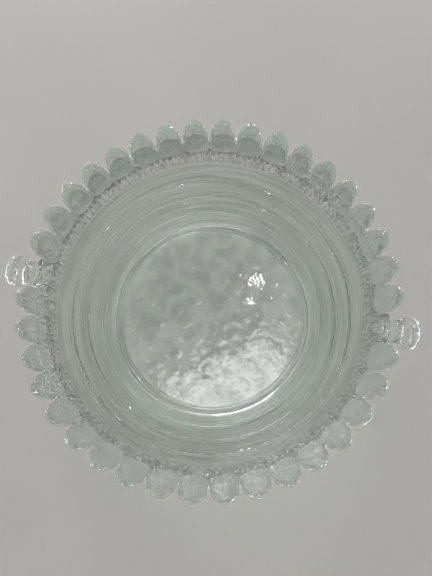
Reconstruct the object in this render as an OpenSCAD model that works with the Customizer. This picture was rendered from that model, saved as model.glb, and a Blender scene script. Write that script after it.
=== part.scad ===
// Handled bowl in thick pressed glass: a flat round floor, a rounded wall in stepped
// courses, a flared collar, a ring of finger-shaped petals, and two spool handles that
// take the place of two opposite petals.
// Millimetres, +Z up. The origin is on the table, at the centre of the foot ring.
// The glass is one pressing. Each module is one zone of it, cut where the mould has an
// edge, and neighbouring zones meet face to face.

/* [Overall] */
// Width over the petal tips
petal_span = 298; // [250:2:350]
// Height from the table to the petal tips
bowl_h = 118; // [96:1:145]

/* [Foot and floor] */
// Diameter of the flat floor inside the bowl
floor_d = 177; // [146:1:214]
// Thickness of the floor
floor_t = 7; // [5:0.5:10]
// Height of the foot ring below the floor
foot_h = 4; // [2:0.5:8]
// Width of the foot ring, which stands under the gutter
foot_w = 7.6; // [5:0.2:12]
// Width of the gutter between floor and wall
gutter_w = 7.6; // [5:0.2:10]
// Depth of the gutter below the floor
gutter_depth = 1.8; // [0.5:0.1:3]

/* [Wall] */
// Thickness of the wall
wall_t = 7; // [5:0.5:9]
// How far the wall bulges out from a straight line
wall_bulge = 6.5; // [3:0.5:12]
// Number of stepped courses in the wall
courses = 4; // [3:1:6]
// How fast the courses grow towards the throat (1 is all alike)
course_growth = 1.3; // [1:0.1:1.6]
// Depth of the step between two courses
step_depth = 1.6; // [0.4:0.1:2.4]

/* [Collar and petals] */
// Height of the collar above the wall
collar_h = 14; // [8:1:20]
// How much the collar's inside radius grows over its height
collar_flare = 3.2; // [1:0.2:6]
// Height of the petals above the collar
petal_h = 28; // [22:1:36]
// How far the petals lean out over their height
petal_flare = 8.5; // [4:0.5:12]
// Thickness of the petals and of the rim under them
petal_t = 9; // [7:0.5:12]
// Places round the rim: one for each petal and one for each handle
places = 38; // [32:2:46]
// Gap between two petals at their widest
petal_gap = 3; // [1.5:0.5:5]
// Height of the web that joins the petals, above the collar
web_h = 10; // [5:1:16]

/* [Handles] */
// How far the handles reach past the petal tips
handle_reach = 16; // [14:1:32]
// Height of the handles' centre line above the collar
handle_rise = 1; // [0:0.5:8]
// Clearance between the spool's root and its neighbours' places
spool_clear = 0.8; // [0.4:0.1:2]
// Radius of the spool's waist
spool_waist_r = 9.5; // [6:0.5:10]
// Radius of the spool's end flange
spool_end_r = 12.5; // [9:0.5:15]
// Thickness of the end flange
spool_end_t = 8; // [4:0.5:9]

/* [Hidden] */
$fn = 96;
SMALL = 0.01;

half_places = places / 2;
pitch = 360 / places;
petals = places - 2;

function two_digits(i) = i < 10 ? str("0", i) : str(i);
function petal_name(i) = str("petal_", two_digits(i));
function course_name(i) = str("wall_course_", i);

glass = [0.80, 0.88, 0.84, 0.45];
clear_glass = [0.90, 0.93, 0.92, 0.45];

// Heights
floor_top = foot_h + floor_t;
petal_z = bowl_h - petal_h;
throat_z = petal_z - collar_h;

// Radii
floor_r = floor_d / 2;
wall_start_r = floor_r + gutter_w;
foot_out_r = wall_start_r;
tip_r = petal_span / 2;
rim_r = tip_r - petal_t - petal_flare;
throat_r = rim_r - collar_flare;

// The wall's inner line is one arc from the gutter to the throat.
chord = [throat_r - wall_start_r, throat_z - floor_top];
chord_l = norm(chord);
chord_out = [chord.y, -chord.x] / chord_l;
arc_r = (chord_l * chord_l / 4 + wall_bulge * wall_bulge) / (2 * wall_bulge);
arc_mid = [wall_start_r, floor_top] + chord / 2;
arc_centre = arc_mid - chord_out * (arc_r - wall_bulge);
arc_start = atan2(floor_top - arc_centre.y, wall_start_r - arc_centre.x);
arc_end = atan2(throat_z - arc_centre.y, throat_r - arc_centre.x);

// A point on the wall: t runs from 0 at the gutter to 1 at the throat, out is the
// distance out from the inner line.
function wall_angle(t) = arc_start + t * (arc_end - arc_start);
function wall_point(t, out) =
    arc_centre + (arc_r + out) * [cos(wall_angle(t)), sin(wall_angle(t))];
function course_end(i) = pow(i / courses, course_growth);

// The lean of the petals, between the rim and the tips
petal_lean = atan(petal_flare / petal_h);
rim_mid_r = rim_r + petal_t / 2;
tip_mid_r = tip_r - petal_t / 2;
petal_r = (tip_mid_r * sin(pitch / 2)) - petal_gap / 2;
spool_root_r = rim_mid_r * tan(pitch / 2) - spool_clear;
handle_z = petal_z + handle_rise;
handle_end_r = tip_r + handle_reach;

// A full ring with the given outline, in the XZ half plane
module ring(outline) {
    rotate_extrude(angle = 360) polygon(outline);
}

// The ring that stands on the table, with its edges chamfered
module foot_ring() {
    edge = 1;
    foot_in_r = foot_out_r - foot_w;
    color(glass) ring([
        [foot_in_r, foot_h], [foot_in_r, edge], [foot_in_r + edge, 0],
        [foot_out_r - edge, 0], [foot_out_r, edge], [foot_out_r, foot_h]
    ]);
}

module floor_disc() {
    edge = 1;
    color(glass) translate([0, 0, foot_h]) {
        cylinder(h = floor_t - edge, r = floor_r);
        translate([0, 0, floor_t - edge])
            cylinder(h = edge, r1 = floor_r, r2 = floor_r - edge);
    }
}

// The sunk ring between the floor and the wall
module gutter_ring() {
    bottom_z = floor_top - gutter_depth;
    side = gutter_w / 5;
    color(glass) ring([
        [floor_r, foot_h], [foot_out_r, foot_h], wall_point(0, wall_t), wall_point(0, 0),
        [wall_start_r - side, bottom_z], [floor_r, bottom_z]
    ]);
}

// One course of the wall, counted from the gutter. It starts on the inner line, and all
// but the last end proud of it by the step, so that the steps face up.
module wall_course(i) {
    t0 = course_end(i - 1);
    t1 = course_end(i);
    turns = 6;
    step = i < courses ? step_depth : 0;
    inner = [for (k = [0 : turns])
        wall_point(t0 + (t1 - t0) * k / turns, -step * k / turns)];
    outer = [for (k = [0 : turns]) wall_point(t1 + (t0 - t1) * k / turns, wall_t)];
    color(glass) ring(concat(inner, outer));
}

// The flared ring between the wall and the petals
module collar() {
    color(clear_glass) ring([
        wall_point(1, 0), wall_point(1, wall_t),
        [rim_r + petal_t, petal_z], [rim_r, petal_z]
    ]);
}

// The leaning shell that the petals and their web are parts of
module rim_shell(height) {
    grow = (tip_mid_r - rim_mid_r) * height / petal_h;
    ring([
        [rim_r, petal_z], [rim_r + petal_t, petal_z],
        [rim_r + petal_t + grow, petal_z + height], [rim_r + grow, petal_z + height]
    ]);
}

// The slice of space that belongs to one place on the rim
module place_slice(height) {
    far = tip_r + 2 * petal_t;
    reach = far * tan(pitch / 2);
    translate([0, 0, petal_z - 1]) linear_extrude(height + 2)
        polygon([[0, 0], [far, -reach], [far, reach]]);
}

// A finger with a round end: rim shell cut by a leaning round bar
module finger(r, height) {
    straight = (height - r) / cos(petal_lean);
    intersection() {
        rim_shell(petal_h + SMALL);
        translate([rim_mid_r, 0, petal_z]) rotate([0, petal_lean, 0]) {
            translate([0, 0, -2 * r]) cylinder(h = straight + 2 * r, r = r);
            translate([0, 0, straight]) sphere(r = r);
        }
        place_slice(petal_h);
    }
}

// The low web between a finger and its neighbours
module web() {
    intersection() {
        rim_shell(web_h);
        place_slice(web_h);
    }
}

// Petals are counted anticlockwise from the right handle, past the left one.
module petal(i) {
    place = i < half_places ? i : i + 1;
    color(glass) rotate([0, 0, place * pitch]) {
        finger(petal_r, petal_h);
        web();
    }
}

// The spool along +X, with its waist halfway between the rim and the end flange
module spool() {
    flange_x = handle_end_r - spool_end_t;
    root_x = rim_r + petal_t;
    waist_x = (root_x + flange_x) / 2;
    edge = 1.5;
    translate([0, 0, handle_z]) rotate([0, 90, 0]) rotate_extrude() polygon([
        [0, rim_mid_r], [spool_root_r, rim_mid_r], [spool_root_r, root_x],
        [spool_waist_r, waist_x - edge], [spool_waist_r, waist_x + edge],
        [spool_end_r, flange_x], [spool_end_r, handle_end_r - edge],
        [spool_end_r - edge, handle_end_r], [0, handle_end_r]
    ]);
}

// Everything up to the outside of the collar
module collar_core() {
    ring([
        [0, throat_z - petal_h], [wall_point(1, wall_t).x, throat_z - petal_h],
        wall_point(1, wall_t), [rim_r + petal_t, petal_z], [0, petal_z]
    ]);
}

// A handle along +X: a waisted spool that grows out of the web and the collar
module handle() {
    color(clear_glass) {
        web();
        difference() {
            spool();
            collar_core();
        }
    }
}

module right_handle() { handle(); }

module left_handle() { rotate([0, 0, 180]) handle(); }

foot_ring();
floor_disc();
gutter_ring();
for (i = [1 : courses])
    wall_course(i);
collar();
for (i = [1 : petals])
    petal(i);
left_handle();
right_handle();
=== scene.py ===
import bmesh
import bpy
import math
from mathutils import Matrix, Vector, noise


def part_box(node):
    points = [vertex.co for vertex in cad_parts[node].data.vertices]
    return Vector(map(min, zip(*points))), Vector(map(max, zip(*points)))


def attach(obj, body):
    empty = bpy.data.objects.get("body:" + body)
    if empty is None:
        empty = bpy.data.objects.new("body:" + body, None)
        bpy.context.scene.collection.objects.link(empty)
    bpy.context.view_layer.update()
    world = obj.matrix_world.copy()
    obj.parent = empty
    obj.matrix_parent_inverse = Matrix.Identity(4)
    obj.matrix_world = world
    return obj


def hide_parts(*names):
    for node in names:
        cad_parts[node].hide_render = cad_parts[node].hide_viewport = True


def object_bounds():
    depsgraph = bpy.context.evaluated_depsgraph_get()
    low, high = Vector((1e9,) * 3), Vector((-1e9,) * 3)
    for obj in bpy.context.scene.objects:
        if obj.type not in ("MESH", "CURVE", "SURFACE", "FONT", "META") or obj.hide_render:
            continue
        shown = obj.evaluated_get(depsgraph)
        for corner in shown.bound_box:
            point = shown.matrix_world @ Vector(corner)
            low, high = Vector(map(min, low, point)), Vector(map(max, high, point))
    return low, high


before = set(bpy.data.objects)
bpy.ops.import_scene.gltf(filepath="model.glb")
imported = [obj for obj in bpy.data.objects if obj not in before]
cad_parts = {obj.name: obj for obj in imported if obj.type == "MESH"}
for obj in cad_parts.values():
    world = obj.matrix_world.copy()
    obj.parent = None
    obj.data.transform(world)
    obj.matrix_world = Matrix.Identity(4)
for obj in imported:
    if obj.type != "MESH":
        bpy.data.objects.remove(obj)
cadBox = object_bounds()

# Handled bowl in pressed glass. Metres, +Z up, the foot stands on z = 0 and the handles
# lie along X. The glass is one pressing, so the pieces meet at faces that light passes
# straight through: those take the joinFace material, and all the others are glass.

mm = 0.001
scene = bpy.context.scene


def reach(node):
    low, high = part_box(node)
    return max(high[0], high[1])


# The bowl's main sizes. Heights and outer radii come from the frame, and thicknesses are
# those that the frame was drawn with.
bowl = {
    "places": 38,  # petals and handles round the rim
    "floorRadius": reach("floor_disc"),
    "floorBottom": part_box("floor_disc")[0][2],
    "floorTop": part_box("floor_disc")[1][2],
    "footRadius": reach("foot_ring"),
    "footWidth": 7.6 * mm,
    "gutterWidth": 7.6 * mm,
    "gutterDepth": 1.8 * mm,
    "wallThick": 7 * mm,
    "wallBulge": 6.5 * mm,
    "petalThick": 9 * mm,
    "collarHeight": 14 * mm,
    "collarFlare": 3.2 * mm,
    "rimOuter": reach("collar"),
    "petalBottom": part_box("collar")[1][2],
    "petalTop": cadBox[1][2],
}
bowl["rimInner"] = bowl["rimOuter"] - bowl["petalThick"]
bowl["rimMid"] = bowl["rimOuter"] - bowl["petalThick"] / 2
bowl["throatRadius"] = bowl["rimInner"] - bowl["collarFlare"]
bowl["throatZ"] = bowl["petalBottom"] - bowl["collarHeight"]
bowl["wallStart"] = bowl["floorRadius"] + bowl["gutterWidth"]
petalHeight = bowl["petalTop"] - bowl["petalBottom"]
halfPlace = math.pi / bowl["places"]


def smooth(x):
    x = min(1.0, max(0.0, x))
    return x * x * (3 - 2 * x)


def mix(a, b, x):
    return a + (b - a) * x


# The wall's inner line is an arc from the gutter to the throat.
def makeWallArc():
    start = Vector((bowl["wallStart"], bowl["floorTop"]))
    end = Vector((bowl["throatRadius"], bowl["throatZ"]))
    chord = end - start
    bulge = bowl["wallBulge"]
    outwards = Vector((chord.y, -chord.x)).normalized()
    radius = (chord.length ** 2 / 4 + bulge ** 2) / (2 * bulge)
    centre = (start + end) / 2 - outwards * (radius - bulge)
    return {
        "centre": centre,
        "radius": radius,
        "from": math.atan2(start.y - centre.y, start.x - centre.x),
        "to": math.atan2(end.y - centre.y, end.x - centre.x),
    }


wallArc = makeWallArc()


def wallPoint(t, out):  # t runs from 0 at the gutter to 1 at the throat
    angle = mix(wallArc["from"], wallArc["to"], t)
    r = wallArc["radius"] + out
    x = wallArc["centre"].x + r * math.cos(angle)
    z = wallArc["centre"].y + r * math.sin(angle)
    return Vector((x, z))


# The glass: its tints, and how clean and clear it is
glass = {
    "green": (0.85, 0.90, 0.865),
    "petal": (0.79, 0.91, 0.845),
    "clear": (0.93, 0.945, 0.935),
    # the gutter's tint is paler than the rest of the pressing: painted light, for the bright band that
    # it shows
    "gutter": (0.96, 0.97, 0.96),
    "floor": (0.90, 0.91, 0.90),
    "ior": 1.5,
    "polish": 0.012,  # roughness of the clean glass
    "haze": 0.07,  # roughness where it is dusty or worn
    "shadow": (0.74, 0.78, 0.76),  # how much lamplight one face lets through
}


# Pressed glass isn't quite even: slow waves from the mould, fine grain, streaks, and
# patches of haze that dull the polish.
# The streaks and the floor's blotches also darken the glass's colour: painted shade, for the light and
# dark that the glass bends in.
pressed = {
    "grainScale": 700.0,
    "grainHeight": 0.05,  # of the waves' height
    "facetScale": 380.0,
    "streakRoughness": 0.6,
    "streakKept": 0.4,  # share of a streak that is left where it has faded out
    # the next two paint shade into the colour along the streaks, as the dark lines that the glass shows
    "streakContrast": (0.62, 0.38),
    "streakPaintedShade": (0.2, 0.21, 0.2, 1),
    "patchScale": 28.0,
    "patchRoughness": 0.65,
    "patchSpread": (0.52, 0.78),
    "waveTint": (0.975, 0.99, 0.98, 1),
    # the next two paint shade into the floor's colour in blotches, for the light and dark that its
    # hammered underside bends
    "blotchSpread": (0.42, 0.6),
    "blotchPaintedShade": (0.45, 0.45, 0.45, 1),
}
surfaceInputs = {
    "Polish": 0.01,
    "Haze": 0.05,
    "Wave Size": 60.0,
    "Sparkle": 0.0,
    "Sparkle From": 0.0,
    "Sparkle Full": 0.01,
    "Tint": (1, 1, 1, 1),
    "Foot Tint": (1, 1, 1, 1),
    "Blotches": 0.0,
    "Streak Around": 1.0,
    "Streak Across": 1.0,
    "Streak Height": 0.0,
    "Streak Shade": 0.0,
    "Streak Until": 1.0,
    "Streak End": 2.0,
}


def feed(group, socket, value):  # with another node's output, or with a plain value
    if isinstance(value, bpy.types.NodeSocket):
        group.links.new(value, socket)
    else:
        socket.default_value = value


def addMath(group, operation, *values):
    node = group.nodes.new("ShaderNodeMath")
    node.operation = operation
    for socket, value in zip(node.inputs, values):
        feed(group, socket, value)
    return node.outputs[0]


def addVector(group, operation, *values):
    node = group.nodes.new("ShaderNodeVectorMath")
    node.operation = operation
    for socket, value in zip(node.inputs, values):
        feed(group, socket, value)
    return node


def addRange(group, value, fromMin, fromMax, toMin=0.0, toMax=1.0):
    node = group.nodes.new("ShaderNodeMapRange")
    names = ("Value", "From Min", "From Max", "To Min", "To Max")
    for name, given in zip(names, (value, fromMin, fromMax, toMin, toMax)):
        feed(group, node.inputs[name], given)
    return node.outputs["Result"]


def addMix(group, kind, blend, factor, a, b):
    node = group.nodes.new("ShaderNodeMix")
    node.data_type = kind
    node.blend_type = blend
    for name, value in (("Factor", factor), ("A", a), ("B", b)):
        feed(group, node.inputs[name], value)
    return node.outputs["Result"]


def addNoise(group, place, scale, detail, roughness=0.5):
    node = group.nodes.new("ShaderNodeTexNoise")
    values = {"Vector": place, "Scale": scale, "Detail": detail, "Roughness": roughness}
    for name, value in values.items():
        feed(group, node.inputs[name], value)
    return node.outputs["Fac"]


def makePressedSurfaceAndShade():
    group = bpy.data.node_groups.new("pressedSurfaceAndShade", "ShaderNodeTree")
    for name, value in surfaceInputs.items():
        kind = "NodeSocketColor" if isinstance(value, tuple) else "NodeSocketFloat"
        socket = group.interface.new_socket(name=name, in_out="INPUT", socket_type=kind)
        socket.default_value = value
    for name, kind in (("Colour", "Color"), ("Roughness", "Float"), ("Height", "Float")):
        group.interface.new_socket(name=name, in_out="OUTPUT", socket_type="NodeSocket" + kind)
    given = group.nodes.new("NodeGroupInput").outputs
    result = group.nodes.new("NodeGroupOutput").inputs
    place = group.nodes.new("ShaderNodeTexCoord").outputs["Object"]

    waves = addNoise(group, place, given["Wave Size"], 2.0)
    grain = addNoise(group, place, pressed["grainScale"], 1.0)
    height = addMath(group, "MULTIPLY_ADD", grain, pressed["grainHeight"], waves)

    # Fine pressed texture, between two heights of the bowl
    parts = group.nodes.new("ShaderNodeSeparateXYZ")
    feed(group, parts.inputs[0], place)
    z = parts.outputs["Z"]
    band = addRange(group, z, given["Sparkle From"], given["Sparkle Full"])
    amount = addMath(group, "MULTIPLY", band, given["Sparkle"])
    facets = addNoise(group, place, pressed["facetScale"], 0.0)
    height = addMath(group, "MULTIPLY_ADD", facets, amount, height)

    # Streaks that run round the bowl or up it, and fade out between two heights: a relief, and painted
    # shade in the colour
    flat = addVector(group, "MULTIPLY", place, (1, 1, 0)).outputs["Vector"]
    radius = addVector(group, "LENGTH", flat).outputs["Value"]
    heading = addVector(group, "NORMALIZE", flat).outputs["Vector"]
    around = addVector(group, "SCALE", heading)
    feed(group, around.inputs["Scale"], given["Streak Around"])
    climb = addMath(group, "ADD", radius, z)
    across = group.nodes.new("ShaderNodeCombineXYZ")
    feed(group, across.inputs["Z"], addMath(group, "MULTIPLY", climb, given["Streak Across"]))
    spot = addVector(group, "ADD", around.outputs["Vector"], across.outputs[0]).outputs["Vector"]
    streaks = addNoise(group, spot, 1.0, 2.0, pressed["streakRoughness"])
    lower = addRange(group, z, given["Streak Until"], given["Streak End"], 1.0, 0.0)
    kept = addRange(group, lower, 0.0, 1.0, pressed["streakKept"])
    relief = addMath(group, "MULTIPLY", kept, given["Streak Height"])
    height = addMath(group, "MULTIPLY_ADD", streaks, relief, height)
    feed(group, result["Height"], height)

    patches = addNoise(group, place, pressed["patchScale"], 5.0, pressed["patchRoughness"])
    spread = addRange(group, patches, *pressed["patchSpread"])
    rough = addMix(group, "FLOAT", "MIX", spread, given["Polish"], given["Haze"])
    feed(group, result["Roughness"], rough)

    colour = addMix(group, "RGBA", "MIX", lower, given["Tint"], given["Foot Tint"])
    colour = addMix(group, "RGBA", "MULTIPLY", waves, colour, pressed["waveTint"])
    # Painted shade: the colour is darkened along the streaks, standing in for the light and dark that
    # refraction gives
    contrast = addRange(group, streaks, *pressed["streakContrast"])
    shade = addMath(group, "MULTIPLY", contrast, given["Streak Shade"])
    weight = addMath(group, "MULTIPLY", shade, kept)
    colour = addMix(group, "RGBA", "MULTIPLY", weight, colour, pressed["streakPaintedShade"])
    # Painted shade: dark blotches in the colour where the waves are high
    blotches = addRange(group, waves, *pressed["blotchSpread"])
    cover = addMath(group, "MULTIPLY", blotches, given["Blotches"])
    colour = addMix(group, "RGBA", "MULTIPLY", cover, colour, pressed["blotchPaintedShade"])
    feed(group, result["Colour"], colour)
    return group


pressedSurfaceAndShade = makePressedSurfaceAndShade()


def letLampsThrough(material, shader):  # so that the glass casts a pale shadow
    nodes, links = material.node_tree.nodes, material.node_tree.links
    rays = nodes.new("ShaderNodeLightPath")
    clear = nodes.new("ShaderNodeBsdfTransparent")
    clear.inputs["Color"].default_value = (*glass["shadow"], 1)
    choice = nodes.new("ShaderNodeMixShader")
    links.new(rays.outputs["Is Shadow Ray"], choice.inputs["Fac"])
    links.new(shader.outputs["BSDF"], choice.inputs[1])
    links.new(clear.outputs["BSDF"], choice.inputs[2])
    links.new(choice.outputs[0], nodes["Material Output"].inputs["Surface"])


# Waves, facets and streaks are as high as this depth times their own values.
def makeGlass(name, tint, waveSize, depth, sparkle=(0.0, 0.0, 1.0), streaks=None,
              footTint=None, polish=None, blotches=0.0):
    material = bpy.data.materials.new(name)
    material.use_nodes = True
    nodes, links = material.node_tree.nodes, material.node_tree.links
    shader = nodes["Principled BSDF"]
    surface = nodes.new("ShaderNodeGroup")
    surface.node_tree = pressedSurfaceAndShade
    values = {
        "Polish": polish or glass["polish"],
        "Haze": glass["haze"],
        "Wave Size": waveSize,
        "Tint": (*tint, 1),
        "Foot Tint": (*(footTint or tint), 1),
        "Blotches": blotches,
        "Sparkle": sparkle[0],
        "Sparkle From": sparkle[1],
        "Sparkle Full": sparkle[2],
    }
    for socket, value in (streaks or {}).items():
        values["Streak " + socket] = value
    for socket, value in values.items():
        surface.inputs[socket].default_value = value
    bump = nodes.new("ShaderNodeBump")
    bump.inputs["Strength"].default_value = 1.0
    bump.inputs["Distance"].default_value = depth
    links.new(surface.outputs["Height"], bump.inputs["Height"])
    links.new(bump.outputs["Normal"], shader.inputs["Normal"])
    links.new(surface.outputs["Roughness"], shader.inputs["Roughness"])
    links.new(surface.outputs["Colour"], shader.inputs["Base Color"])
    shader.inputs["IOR"].default_value = glass["ior"]
    shader.inputs["Transmission Weight"].default_value = 1.0
    shader.inputs["Metallic"].default_value = 0.0
    letLampsThrough(material, shader)
    return material


def makeJoinFace():  # where two pieces meet, light goes straight through
    material = bpy.data.materials.new("joinFace")
    material.use_nodes = True
    shader = material.node_tree.nodes["Principled BSDF"]
    shader.inputs["Alpha"].default_value = 0.0
    shader.inputs["Roughness"].default_value = 1.0
    return material


petalTop, petalFoot = bowl["petalTop"], bowl["petalBottom"]
# Each set's Shade is painted shade: how far its streaks darken the glass's colour
ringStreaks = {"Around": 1.3, "Across": 330.0, "Height": 1.6, "Shade": 0.36}
footStreaks = {"Around": 44.0, "Across": 16.0, "Height": 14.0, "Shade": 0.22,
               "Until": petalFoot + 2 * mm, "End": petalFoot + 11 * mm}
collarStreaks = {"Around": 50.0, "Across": 25.0, "Height": 11.0, "Shade": 0.15}
greenGlass = makeGlass("greenGlass", glass["green"], 30.0, 0.12 * mm, streaks=ringStreaks)
petalGlass = makeGlass(
    "petalGlass", glass["petal"], 130.0, 0.2 * mm, streaks=footStreaks,
    sparkle=(3.0, petalTop - 9 * mm, petalTop - 2 * mm), footTint=glass["clear"], polish=0.045)
collarGlass = makeGlass(
    "collarGlass", glass["clear"], 90.0, 0.2 * mm, streaks=collarStreaks,
    sparkle=(2.5, 0.0, 1 * mm), polish=0.04)
clearGlass = makeGlass("clearGlass", glass["clear"], 90.0, 0.2 * mm, sparkle=(2.0, 0.0, 1 * mm))
# Painted light: the gutter's glass is a paler copy of the green glass
gutterPaintedLightGlass = makeGlass("gutterPaintedLightGlass", glass["gutter"], 60.0, 0.15 * mm, streaks=ringStreaks)
# The floor's glass has painted shade in blotches
rippledPaintedShadeGlass = makeGlass("rippledPaintedShadeGlass", glass["floor"], 75.0, 0.35 * mm, blotches=0.3)
joinFace = makeJoinFace()
print("materials made")


crease = math.radians(38)  # edges sharper than this stay sharp
touching = 0.002 * mm  # points closer than this to a cut lie on it


def finishPiece(bm, name, material, nodeNames):
    for face in bm.faces:
        face.smooth = face.material_index == 0
    for edge in bm.edges:
        flat = any(face.material_index == 1 for face in edge.link_faces)
        edge.smooth = not flat and edge.calc_face_angle(math.pi) < crease
    mesh = bpy.data.meshes.new(name)
    bm.to_mesh(mesh)
    bm.free()
    mesh.materials.append(material)
    mesh.materials.append(joinFace)
    piece = bpy.data.objects.new(name, mesh)
    scene.collection.objects.link(piece)
    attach(piece, "root")
    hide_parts(*nodeNames)
    return piece


def onCut(point, cut):  # is this point of the half plane on the line of a cut?
    a, b = cut
    along = b - a
    t = (point - a).dot(along) / along.length_squared
    gap = (point - a - along * min(1.0, max(0.0, t))).length
    return gap < touching


def markJoins(bm, cuts):
    for face in bm.faces:
        corners = [Vector((math.hypot(v.co.x, v.co.y), v.co.z)) for v in face.verts]
        if any(all(onCut(corner, cut) for corner in corners) for cut in cuts):
            face.material_index = 1


def spinOutline(outline, steps, cuts):  # outline is a closed loop of (radius, height)
    bm = bmesh.new()
    corners = [bm.verts.new((p[0], 0.0, p[1])) for p in outline]
    edges = []
    for i, corner in enumerate(corners):
        following = corners[(i + 1) % len(corners)]
        if corner.co.x > 0 or following.co.x > 0:
            edges.append(bm.edges.new((corner, following)))
    bmesh.ops.spin(bm, geom=corners + edges, cent=(0, 0, 0), axis=(0, 0, 1), dvec=(0, 0, 0),
                   angle=2 * math.pi, steps=steps, use_merge=True, use_duplicate=False)
    bmesh.ops.remove_doubles(bm, verts=bm.verts, dist=0.001 * mm)
    bmesh.ops.recalc_face_normals(bm, faces=bm.faces)
    markJoins(bm, cuts)
    return bm


def stretch(a, b, count):  # points from a to b, without b
    return [mix(a, b, i / count) for i in range(count)]


ringSteps = bowl["places"] * 8

# The ring that the bowl stands on
foot = {
    "round": 1.6 * mm,  # radius of the ring's lower edges
    "turns": 5,
}


def makeFoot():
    outer, inner = bowl["footRadius"], bowl["footRadius"] - bowl["footWidth"]
    top, soft = bowl["floorBottom"], foot["round"]
    outline = [Vector((outer, top)), Vector((outer, mix(top, soft, 0.5)))]
    for i in range(foot["turns"] + 1):
        a = i / foot["turns"] * math.pi / 2
        outline.append(Vector((outer - soft + soft * math.cos(a), soft - soft * math.sin(a))))
    for i in range(foot["turns"] + 1):
        a = i / foot["turns"] * math.pi / 2
        outline.append(Vector((inner + soft - soft * math.sin(a), soft - soft * math.cos(a))))
    outline += [Vector((inner, mix(top, soft, 0.5))), Vector((inner, top))]
    bm = spinOutline(outline, ringSteps, [(outline[-1], outline[0])])
    return finishPiece(bm, "footRing", greenGlass, ["foot_ring"])


makeFoot()

# The flat floor, hammered underneath
floorDisc = {
    "edge": 1.2 * mm,  # rounding of the upper edge
    "edgeTurns": 5,
    "rows": 44,
    "plain": 6 * mm,  # width of the rim where the ripples and the dimples fade out
    "dimple": 0.5 * mm,  # depth of the hammered underside
    "dimpleSize": 12 * mm,
    "dimpleEdge": 1.6,  # how steep the dimples' edges are
    "dimpleShare": 0.8,  # of the depth, and the rest is a slower wave
    "slowShare": 0.5,
    "slowSize": 2.2,  # in dimples
    "ripple": 0.22 * mm,  # waves of the upper face
    "rippleSize": 14 * mm,
    "seed": Vector((3.1, 7.7, 1.3)),
}


def hammered(place):
    near = noise.voronoi(place / floorDisc["dimpleSize"] + floorDisc["seed"])[0]
    cell = min(1.0, (near[1] - near[0]) * floorDisc["dimpleEdge"])
    slow = noise.noise(place / (floorDisc["slowSize"] * floorDisc["dimpleSize"]))
    return smooth(cell) * floorDisc["dimpleShare"] + slow * floorDisc["slowShare"]


def makeFloor():
    r, top, bottom = bowl["floorRadius"], bowl["floorTop"], bowl["floorBottom"]
    soft = floorDisc["edge"]
    ledge = top - bowl["gutterDepth"]
    outline = stretch(Vector((0, top)), Vector((r - soft, top)), floorDisc["rows"])
    for i in range(floorDisc["edgeTurns"] + 1):
        a = i / floorDisc["edgeTurns"] * math.pi / 2
        outline.append(Vector((r - soft + soft * math.sin(a), top - soft + soft * math.cos(a))))
    outline.append(Vector((r, ledge)))
    outline += stretch(Vector((r, bottom)), Vector((0, bottom)), floorDisc["rows"])
    outline.append(Vector((0, bottom)))
    bm = spinOutline(outline, ringSteps, [(Vector((r, ledge)), Vector((r, bottom)))])
    for v in bm.verts:
        radius = math.hypot(v.co.x, v.co.y)
        flat = Vector((v.co.x, v.co.y, 0))
        fade = smooth((r - soft - radius) / floorDisc["plain"])
        if abs(v.co.z - bottom) < 0.01 * mm:
            v.co.z += floorDisc["dimple"] * hammered(flat) * fade
        elif abs(v.co.z - top) < 0.01 * mm:
            v.co.z += floorDisc["ripple"] * noise.noise(flat / floorDisc["rippleSize"]) * fade
    return finishPiece(bm, "floorDisc", rippledPaintedShadeGlass, ["floor_disc"])


makeFloor()

# The sunk ring between the floor and the wall
gutter = {
    "turns": 7,
}


def makeGutter():
    r, top, bottom = bowl["floorRadius"], bowl["floorTop"], bowl["floorBottom"]
    ledge = top - bowl["gutterDepth"]
    footOut = bowl["footRadius"]
    footIn = footOut - bowl["footWidth"]
    wallIn, wallOut = wallPoint(0, 0), wallPoint(0, bowl["wallThick"])
    outline = [Vector((r, ledge))]
    sweep = wallIn - Vector((r, ledge))
    for i in range(1, gutter["turns"]):
        x = i / gutter["turns"]
        outline.append(Vector((r + sweep.x * x, ledge + sweep.y * x ** 3)))
    outline += [wallIn, wallOut]
    for i in range(1, gutter["turns"]):
        x = i / gutter["turns"]
        outline.append(Vector((mix(wallOut.x, footOut, x), mix(wallOut.y, bottom, x ** 0.5))))
    outline += [Vector((footOut, bottom)), Vector((footIn, bottom))]
    cuts = [(wallIn, wallOut), (outline[-1], outline[0]), (outline[-2], outline[-1])]
    bm = spinOutline(outline, ringSteps, cuts)
    return finishPiece(bm, "gutterRing", gutterPaintedLightGlass, ["gutter_ring"])


makeGutter()

# The wall's courses, one above the other
wall = {
    "courses": 4,
    "growth": 1.3,  # the courses get taller towards the throat
    "step": 1.6 * mm,  # how far a course stands proud of the next one
    "stepRound": 3.4 * mm,
    "noseTurns": 6,
    "rows": 22,
    "lines": 3,  # fine lines on each course
    "lineDepth": 0.45 * mm,
    "outerSwell": 0.5 * mm,  # how much each course swells on the outside
    "waver": 0.03 * mm,  # how far the pressed surface strays
    "waverSize": 26 * mm,
    "waverFrom": 5 * mm,  # it starts this far from a course's ends
}


def courseEnd(i):
    return (i / wall["courses"]) ** wall["growth"]


def waverAt(co):
    return wall["waver"] * noise.noise(co / wall["waverSize"])


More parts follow.
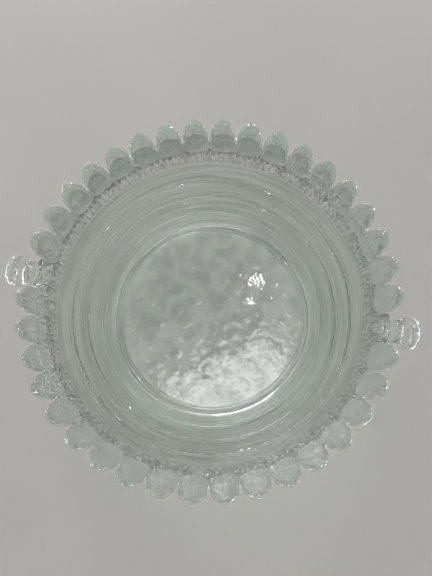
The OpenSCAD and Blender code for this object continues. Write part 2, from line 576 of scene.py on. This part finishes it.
def makeCourse(i):
    t0, t1 = courseEnd(i - 1), courseEnd(i)
    thick = bowl["wallThick"]
    arcLength = wallArc["radius"] * (wallArc["to"] - wallArc["from"])
    step = wall["step"] if i < wall["courses"] else 0.0
    nose = wall["stepRound"] / arcLength if step else 0.0
    inner = []
    for k in range(wall["rows"] + 1):
        x = k / wall["rows"]
        line = math.sin(x * wall["lines"] * math.pi) ** 2 * wall["lineDepth"]
        inner.append(wallPoint(mix(t0, t1 - nose, x), -step * smooth(x) - line))
    if step:
        for k in range(1, wall["noseTurns"]):
            a = k / wall["noseTurns"] * math.pi / 2
            inner.append(wallPoint(t1 - nose * (1 - math.sin(a)), -step * math.cos(a)))
        inner.append(wallPoint(t1, 0))
    outer = []
    for k in range(wall["rows"] + 1):
        x = k / wall["rows"]
        swell = wall["outerSwell"] * math.sin(x * math.pi) ** 0.6
        outer.append(wallPoint(mix(t1, t0, x), thick + swell))
    cuts = [(inner[0], outer[-1]), (inner[-1], outer[0])]
    bm = spinOutline(inner + outer, ringSteps, cuts)
    middle = wallArc["radius"] + thick / 2
    for v in bm.verts:
        place = Vector((math.hypot(v.co.x, v.co.y), v.co.z))
        depth = 0 if (place - wallArc["centre"]).length < middle else thick
        away = min((place - wallPoint(t, depth)).length for t in (t0, t1))
        stray = waverAt(v.co) * smooth(away / wall["waverFrom"])
        out = (place - wallArc["centre"]).normalized() * stray
        turn = math.atan2(v.co.y, v.co.x)
        v.co += Vector((out.x * math.cos(turn), out.x * math.sin(turn), out.y))
    return finishPiece(bm, "wallCourse%d" % i, greenGlass, ["wall_course_%d" % i])


for number in range(1, wall["courses"] + 1):
    makeCourse(number)
print("floor and wall made")

# The petals, each with its half of the web to its neighbours
petal = {
    "columns": 24,
    "rows": 16,
    "finger": 0.93,  # share of the place that the finger is wide
    "webHeight": 10 * mm,
    "webThick": 5.2 * mm,
    "tipThick": 6.0 * mm,
    "lean": 8.5 * mm,  # how far the middle of the tips stands out from the rim
    "tipRound": 2.8,  # how late the finger starts to round off at its tip
    "archPower": 1.75,
}

flutes = {
    "count": 4,  # flutes to each place
    "outerDepth": 1.8 * mm,
    "innerDepth": 2.9 * mm,  # depth between the ribs inside, at the foot of the petals
    "shoulder": 1.8 * mm,  # rounding of the ribs' upper ends
    "fadeFrom": 0.25,  # where the outer flutes start to fade, as a share of the rim's height
}


def fingerHeight(s, tall):
    side = min(1.0, abs(s) / petal["finger"])
    return mix(petal["webHeight"], tall, math.sqrt(max(0.0, 1 - side ** petal["archPower"])))


def glassThick(s):  # thickness across a place, at the foot of the petals
    side = min(1.0, abs(s) / petal["finger"])
    return mix(petal["webThick"], bowl["petalThick"], math.sqrt(max(0.0, 1 - side ** 2)))


def outerFlute(s, z):  # how deep the outside is cut at this place and height
    rise = (z - bowl["throatZ"]) / (bowl["petalTop"] - bowl["throatZ"])
    window = smooth(rise / 0.06) * (1 - smooth((rise - flutes["fadeFrom"]) / 0.2))
    ridge = abs(math.sin(flutes["count"] * math.pi * (s + 1) / 2))
    return flutes["outerDepth"] * (1 - ridge) * window


def petalPoint(u, w, tall):  # u runs across, w over the tip from the inside to the outside
    q = 1 - abs(w)
    wide = petal["finger"]
    if abs(u) < wide:
        curved = wide * math.sin(u / wide * math.pi / 2)
    else:
        curved = u
    s = mix(u, curved, smooth(q * 1.5))
    rise = math.sin(q * math.pi / 2)
    height = fingerHeight(s, tall) * rise
    up = height / petalHeight
    thin = math.sqrt(max(0.0, 1 - rise ** petal["tipRound"]))
    half = glassThick(s) / 2 * thin * mix(1, petal["tipThick"] / bowl["petalThick"], up)
    middle = bowl["rimMid"] + petal["lean"] * up
    z = bowl["petalBottom"] + height
    r = middle + half - outerFlute(s, z) * thin if w > 0 else middle - half
    return Vector((r * math.cos(s * halfPlace), r * math.sin(s * halfPlace), z))


def petalShell(tall):
    bm = bmesh.new()
    columns, rows = petal["columns"], 2 * petal["rows"]
    bmesh.ops.create_grid(bm, x_segments=columns, y_segments=rows, size=1.0)
    flat = {v: (v.co.x, v.co.y) for v in bm.verts}
    sides, bottoms = {}, {}
    for side in (-1, 1):
        edge = [v for v in bm.verts if abs(flat[v][0] - side) < 0.001]
        sides[side] = sorted(edge, key=lambda v: flat[v][1])
        edge = [v for v in bm.verts if abs(flat[v][1] - side) < 0.001]
        bottoms[side] = sorted(edge, key=lambda v: flat[v][0])
    for v in bm.verts:
        v.co = petalPoint(*flat[v], tall)
    joins = [bm.faces.new(sides[-1]), bm.faces.new(list(reversed(sides[1])))]
    joins.append(bm.faces.new(bottoms[-1] + list(reversed(bottoms[1]))))
    for face in joins:
        face.material_index = 1
    bmesh.ops.recalc_face_normals(bm, faces=bm.faces)
    return bm


def makePetal(number):
    half = bowl["places"] // 2
    place = number if number < half else number + 1
    bm = petalShell(petalHeight)
    turn = Matrix.Rotation(place * 2 * halfPlace, 4, "Z")
    bmesh.ops.transform(bm, matrix=turn, verts=bm.verts)
    return finishPiece(bm, "petal%02d" % number, petalGlass, ["petal_%02d" % number])


for number in range(1, bowl["places"] - 1):
    makePetal(number)
print("petals made")

# The collar between the wall and the petals
collar = {
    "steps": 32,  # round each place
    "rows": 16,
}


def collarOutline(rows):
    throat, rim = wallPoint(1, 0), Vector((bowl["rimInner"], bowl["petalBottom"]))
    inner = [mix(throat, rim, 1 - (1 - k / rows) ** 2) for k in range(rows + 1)]  # closer at the top
    throat, rim = wallPoint(1, bowl["wallThick"]), Vector((bowl["rimOuter"], bowl["petalBottom"]))
    outer = stretch(rim, throat, rows)
    outer.append(throat)
    return inner, outer


def shapeCollar(bm):
    low, high = bowl["throatZ"], bowl["petalBottom"]
    for v in bm.verts:
        angle = math.atan2(v.co.y, v.co.x)
        radius = math.hypot(v.co.x, v.co.y)
        place = angle / (2 * halfPlace)
        s = 2 * (place - math.floor(place + 0.5))
        up = min(1.0, max(0.0, (v.co.z - low) / (high - low)))
        middle = mix(bowl["throatRadius"] + bowl["wallThick"] / 2, bowl["rimMid"], up)
        outside = radius > middle
        lobe = (bowl["petalThick"] - glassThick(s)) / 2 * smooth(up)
        if outside:
            move = -lobe - outerFlute(s, v.co.z)
        else:
            ridge = abs(math.sin(flutes["count"] * math.pi * (s + 1) / 2)) ** 0.6
            drop = min(1.0, (high - v.co.z) / flutes["shoulder"])
            end = math.sqrt(max(0.0, 1 - (1 - drop) ** 2))
            move = lobe - (flutes["innerDepth"] * up + lobe) * ridge * end
        v.co.x += move * math.cos(angle)
        v.co.y += move * math.sin(angle)


def makeCollar():
    inner, outer = collarOutline(collar["rows"])
    cuts = [(inner[-1], outer[0]), (outer[-1], inner[0])]
    bm = spinOutline(inner + outer, bowl["places"] * collar["steps"], cuts)
    turn = Matrix.Rotation(halfPlace, 4, "Z")
    bmesh.ops.transform(bm, matrix=turn, verts=bm.verts)
    shapeCollar(bm)
    return finishPiece(bm, "collar", collarGlass, ["collar"])


makeCollar()
print("collar made")

# The two spools that stand in for petals
handle = {
    "height": 1 * mm,  # of its centre line above the collar
    "rootRadius": 10.4 * mm,
    "waistRadius": 9.5 * mm,
    "endRadius": 12.5 * mm,
    "endThick": 8 * mm,
    "endX": reach("right_handle"),
    "rows": 10,
    "flare": 0.6,  # where the spool starts to widen to its end, as a share of its length
    "endTurns": 8,
    "steps": 48,
    "endDish": 0.3 * mm,  # how far the middle of the end lies in
    "coreSteps": 6,  # round each place, of the collar's shape that is cut away
    "coreRows": 4,
    "coreDrop": 0.02 * mm,
}


def spoolRadius(x):  # x runs from 0 at the rim to 1 at the flange
    return mix(handle["rootRadius"], handle["waistRadius"], math.sin(math.pi * x) ** 0.8)


def spoolOutline():
    start, flange = bowl["rimMid"], handle["endX"] - handle["endThick"]
    points = [Vector((0, start))]
    for i in range(handle["rows"] + 1):
        x = i / handle["rows"]
        widen = smooth((x - handle["flare"]) / (1 - handle["flare"]))
        points.append(Vector((mix(spoolRadius(x), handle["endRadius"], widen), mix(start, flange, x))))
    bulge = handle["endThick"] / 2
    for i in range(1, handle["endTurns"] + 1):
        a = -math.pi / 2 + i / handle["endTurns"] * math.pi
        wide = handle["endRadius"] - bulge + bulge * math.cos(a)
        points.append(Vector((wide, handle["endX"] - bulge + bulge * math.sin(a))))
    points.append(Vector((0, handle["endX"] - handle["endDish"])))
    return points


def meshObject(bm, name):
    mesh = bpy.data.meshes.new(name)
    bm.to_mesh(mesh)
    bm.free()
    thing = bpy.data.objects.new(name, mesh)
    scene.collection.objects.link(thing)
    return thing


def combine(body, tool, operation):
    modifier = body.modifiers.new("combine", "BOOLEAN")
    modifier.object = tool
    modifier.operation = operation
    modifier.solver = "EXACT"
    graph = bpy.context.evaluated_depsgraph_get()
    mesh = bpy.data.meshes.new_from_object(body.evaluated_get(graph))
    body.modifiers.clear()
    body.data = mesh
    bpy.data.objects.remove(tool)


def makeHandle(name, turnAngle, nodeName):
    body = meshObject(petalShell(handle["height"] + handle["rootRadius"]), "handleRoot")
    spool = spinOutline(spoolOutline(), handle["steps"], [])
    lift = Matrix.Translation((0, 0, bowl["petalBottom"] + handle["height"]))
    lay = lift @ Matrix.Rotation(math.pi / 2, 4, "Y")
    bmesh.ops.transform(spool, matrix=lay, verts=spool.verts)
    combine(body, meshObject(spool, "spool"), "UNION")
    inner, outer = collarOutline(handle["coreRows"])
    core = spinOutline(inner + outer, bowl["places"] * handle["coreSteps"], [])
    shapeCollar(core)
    bmesh.ops.translate(core, verts=core.verts, vec=(0, 0, -handle["coreDrop"]))
    combine(body, meshObject(core, "core"), "DIFFERENCE")
    bm = bmesh.new()
    bm.from_mesh(body.data)
    bpy.data.objects.remove(body)
    bmesh.ops.remove_doubles(bm, verts=bm.verts, dist=0.003 * mm)
    for face in bm.faces:
        onBottom = all(abs(v.co.z - bowl["petalBottom"]) < 0.03 * mm for v in face.verts)
        onSide = all(abs(abs(math.atan2(v.co.y, v.co.x)) - halfPlace) < 0.0001 for v in face.verts)
        face.material_index = 1 if onBottom or onSide else 0
    bmesh.ops.transform(bm, matrix=Matrix.Rotation(turnAngle, 4, "Z"), verts=bm.verts)
    return finishPiece(bm, name, clearGlass, [nodeName])


makeHandle("rightHandle", 0.0, "right_handle")
makeHandle("leftHandle", math.pi, "left_handle")
print("handles made")

# Floor and light
studio = {
    "floorColour": (0.50, 0.485, 0.465),
    "floorRoughness": 0.8,
    "floorSize": 2.8,
    "floorGap": 0.4 * mm,  # the floor lies this far under the foot, so that light gets in
    "horizon": (0.42, 0.42, 0.41),
    "zenith": (0.22, 0.22, 0.22),
    "skyFrom": 0.15,  # heights between which the pale turns dark
    "skyTo": 0.8,
    "boxes": {  # name: place, size, power
        "keyBox": ((-0.45, 0.85, 0.8), (0.5, 0.25), 3),
        "topBox": ((0.08, -0.12, 1.2), (0.45, 0.3), 1.8),
        "glintLamp": ((0.08, 0.26, 1.0), (0.03, 0.02), 0.12),
    },
    "aim": (0, 0, 0.05),
    "glints": 8,  # small low lamps round the bowl
    "glintRadius": 0.9,
    "glintHeight": 0.33,
    "glintAim": (0, 0, 0.08),
    "glintSize": (0.07, 0.05),
    "glintPower": 0.9,
}


def makeStage():
    bm = bmesh.new()
    bmesh.ops.create_grid(bm, x_segments=8, y_segments=8, size=studio["floorSize"] / 2)
    bmesh.ops.translate(bm, verts=bm.verts, vec=(0, 0, -studio["floorGap"]))
    ground = meshObject(bm, "ground")
    material = bpy.data.materials.new("paleFloor")
    material.use_nodes = True
    shader = material.node_tree.nodes["Principled BSDF"]
    shader.inputs["Roughness"].default_value = studio["floorRoughness"]
    shader.inputs["Base Color"].default_value = (*studio["floorColour"], 1)
    ground.data.materials.append(material)


def makeWorld():  # pale round the horizon, and darker overhead
    world = bpy.data.worlds.new("studio")
    scene.world = world
    world.use_nodes = True
    tree = world.node_tree
    place = tree.nodes.new("ShaderNodeTexCoord")
    parts = tree.nodes.new("ShaderNodeSeparateXYZ")
    feed(tree, parts.inputs[0], place.outputs["Generated"])
    rise = addRange(tree, parts.outputs["Z"], studio["skyFrom"], studio["skyTo"])
    sky = addMix(tree, "RGBA", "MIX", rise, (*studio["horizon"], 1), (*studio["zenith"], 1))
    feed(tree, tree.nodes["Background"].inputs["Color"], sky)


def addSoftbox(name, place, aim, size, power):
    lamp = bpy.data.lights.new(name, "AREA")
    lamp.shape = "RECTANGLE"
    lamp.size, lamp.size_y = size
    lamp.energy = power
    thing = bpy.data.objects.new(name, lamp)
    thing.location = place
    thing.rotation_euler = (Vector(aim) - Vector(place)).to_track_quat("-Z", "Y").to_euler()
    thing.visible_camera = False
    scene.collection.objects.link(thing)


camera = {
    "place": Vector((0.0200, -0.0569, 0.4398)),
    "forward": Vector((-0.0465, 0.1931, -0.9801)),
    "up": Vector((-0.1567, 0.9676, 0.1981)),
    "focal": 440 / 576,  # focal length as a share of the picture's height
}


def makeCamera():
    forward = camera["forward"].normalized()
    right = forward.cross(camera["up"]).normalized()
    up = right.cross(forward)
    data = bpy.data.cameras.new("camera")
    data.sensor_fit = "VERTICAL"
    data.sensor_height = 36.0
    data.lens = camera["focal"] * data.sensor_height
    data.clip_start = 0.01
    thing = bpy.data.objects.new("camera", data)
    turn = Matrix((right, up, -forward)).transposed().to_4x4()
    thing.matrix_world = Matrix.Translation(camera["place"]) @ turn
    scene.collection.objects.link(thing)
    scene.camera = thing


makeStage()
makeWorld()
for name, (place, size, power) in studio["boxes"].items():
    addSoftbox(name, place, studio["aim"], size, power)
for i in range(studio["glints"]):
    a = (i + 0.5) / studio["glints"] * 2 * math.pi
    away = studio["glintRadius"]
    place = (away * math.cos(a), away * math.sin(a), studio["glintHeight"])
    addSoftbox("glint%d" % (i + 1), place, studio["glintAim"], studio["glintSize"], studio["glintPower"])
makeCamera()

scene.view_settings.view_transform = "Standard"
scene.cycles.max_bounces = 24
scene.cycles.transmission_bounces = 24
scene.cycles.glossy_bounces = 10
scene.cycles.transparent_max_bounces = 40
scene.cycles.use_denoising = True
